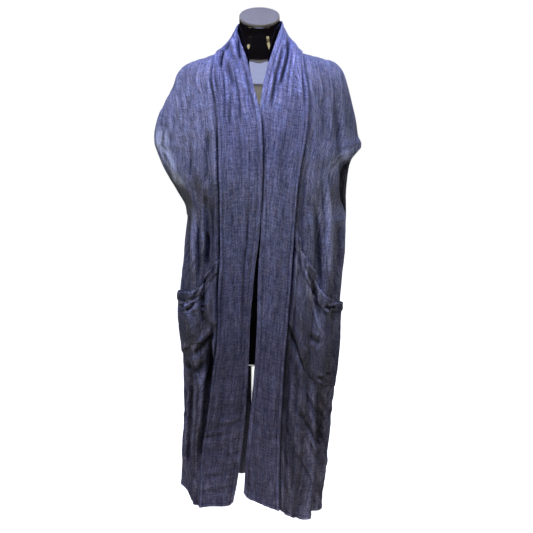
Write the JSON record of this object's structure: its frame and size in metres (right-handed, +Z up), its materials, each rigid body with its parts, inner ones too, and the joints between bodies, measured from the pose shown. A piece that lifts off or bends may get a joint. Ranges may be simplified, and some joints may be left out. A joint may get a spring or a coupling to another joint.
{
  "type": "duster coat on a dress form",
  "caption": "Long open sleeveless duster coat with dropped cap shoulders, wide front band and patch pockets, on a headless dress form with pole and round base.",
  "frame": {"origin": "floor level under the dress form's axis, at the centre of the base's underside", "axes": "+Z up, -Y towards the coat's open front, +X towards the coat's left side"},
  "size_m": [0.54, 0.364, 1.5352],
  "materials": {
    "cloth": "matte",
    "band_cloth": "matte",
    "form_gloss": "gloss",
    "cap_grey": "satin",
    "stand_paint": "satin"
  },
  "bodies": {
    "root": {"coat_back": "cloth", "coat_front_right": "cloth", "coat_front_left": "cloth", "pocket_right": "cloth", "pocket_left": "cloth", "band_right": "band_cloth", "band_left": "band_cloth", "form_torso": "form_gloss", "form_neck_cap": "cap_grey", "form_pole": "stand_paint", "form_base": "stand_paint"}
  },
  "joints": []
}
